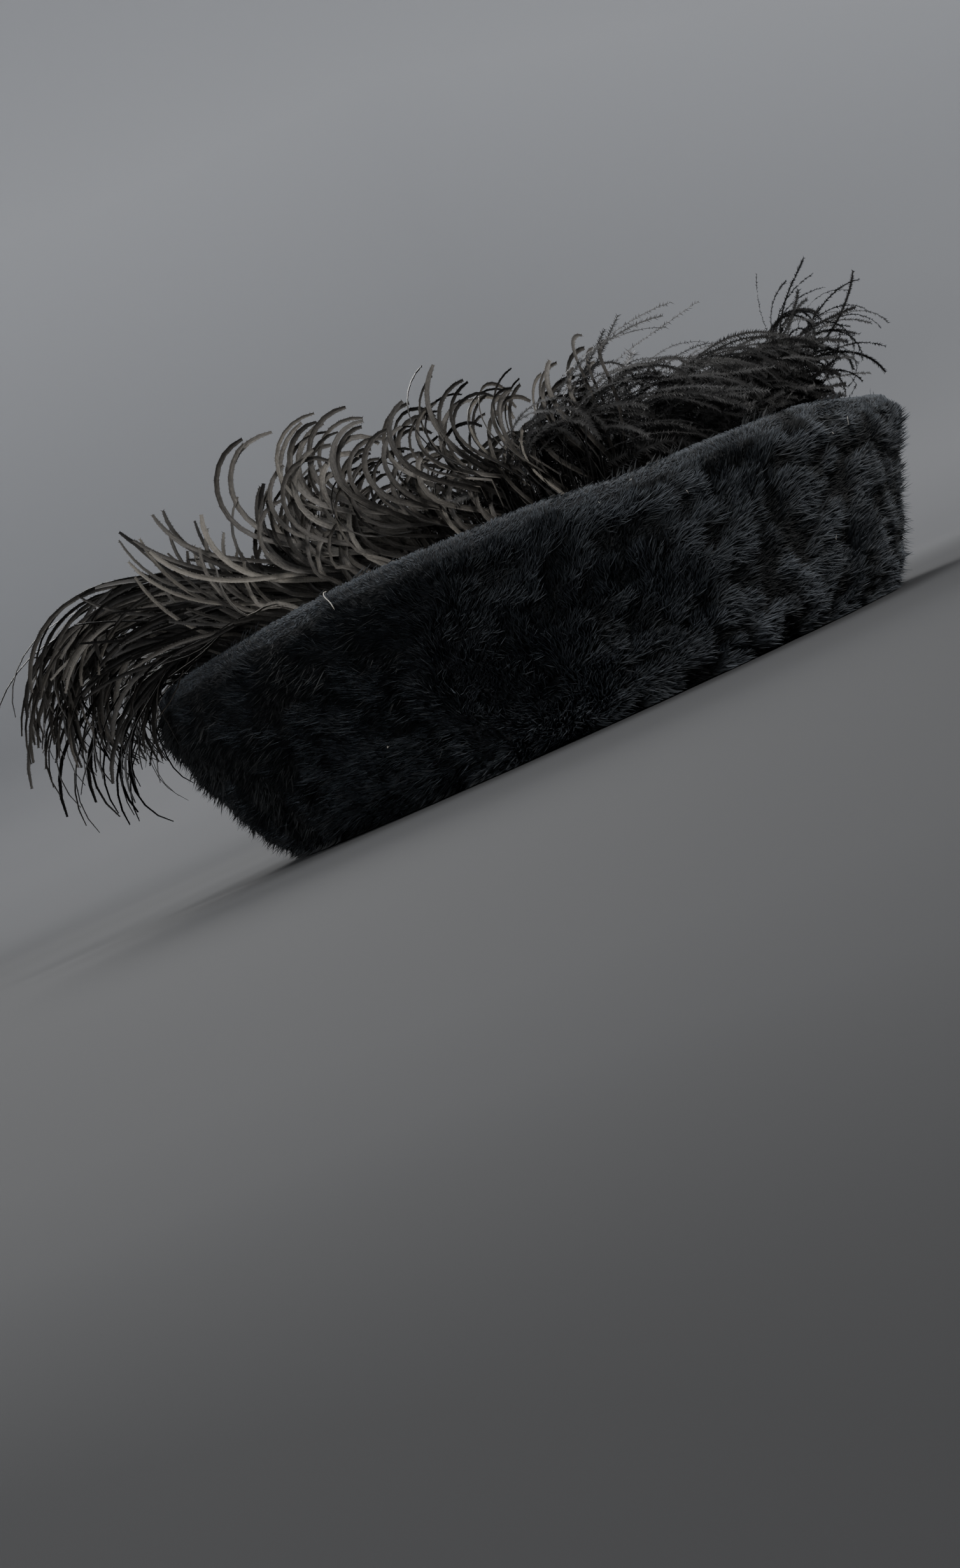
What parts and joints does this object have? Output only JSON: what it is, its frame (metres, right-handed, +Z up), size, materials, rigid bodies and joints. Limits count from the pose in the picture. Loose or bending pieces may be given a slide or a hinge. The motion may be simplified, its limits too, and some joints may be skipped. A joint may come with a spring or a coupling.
{
  "type": "breton hat",
  "caption": "Black long-nap felt hat with a tall brim turned up all round a domed crown, and curled ostrich plumes laid round the crown over the brim's edge.",
  "frame": {"origin": "middle of the hat's footprint box, plumes included, on the surface that the brim stands on", "axes": "+X to the front of the hat, +Z up, -Y to the wearer's right"},
  "size_m": [0.3692, 0.271, 0.1447],
  "materials": {
    "brim_felt": "long napped",
    "crown_felt": "napped",
    "plume": "silky"
  },
  "bodies": {
    "root": {"brim": "brim_felt", "crown": "crown_felt", "plume_front": "plume", "plume_back": "plume", "plume_left": "plume"}
  },
  "joints": []
}
